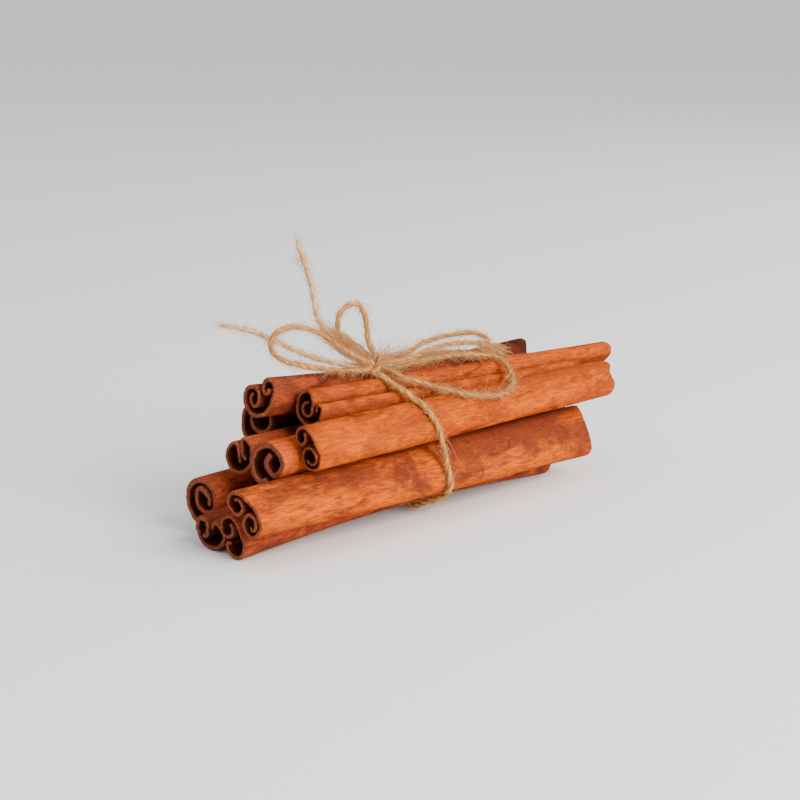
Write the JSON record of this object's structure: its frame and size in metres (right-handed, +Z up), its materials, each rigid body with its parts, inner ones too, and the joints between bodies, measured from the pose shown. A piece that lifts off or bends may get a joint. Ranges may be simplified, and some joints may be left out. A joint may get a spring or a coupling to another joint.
{
  "type": "bundle of cinnamon sticks",
  "caption": "Cinnamon sticks of rolled bark, bundled side by side and tied round the middle with jute twine in a loose bow with free loops and frayed ends.",
  "frame": {"origin": "on the surface the bundle rests on, under the middle of the box of the sticks, knot and wrap", "axes": "+X along the sticks, from the scroll ends that face the viewer's left to the far ends; +Y away from the viewer; +Z up"},
  "size_m": [0.1237, 0.04, 0.0592],
  "materials": {
    "bark": "dry fibrous bark, matte, with lengthwise streaks and darker cut ends",
    "twine": "natural jute, twisted and hairy"
  },
  "bodies": {
    "root": {"stick_top_back": "bark", "stick_upper_back": "bark", "stick_top_front": "bark", "stick_middle_back": "bark", "stick_middle": "bark", "stick_upper_front": "bark", "stick_lower_back": "bark", "stick_bottom_back": "bark", "stick_bottom_front": "bark", "stick_lower_front": "bark", "wrap": "twine", "knot": "twine", "loop_right": "twine", "loop_right_upper": "twine", "loop_left": "twine", "loop_up": "twine", "tail_right": "twine", "tail_up": "twine", "tail_left": "twine"}
  },
  "joints": []
}
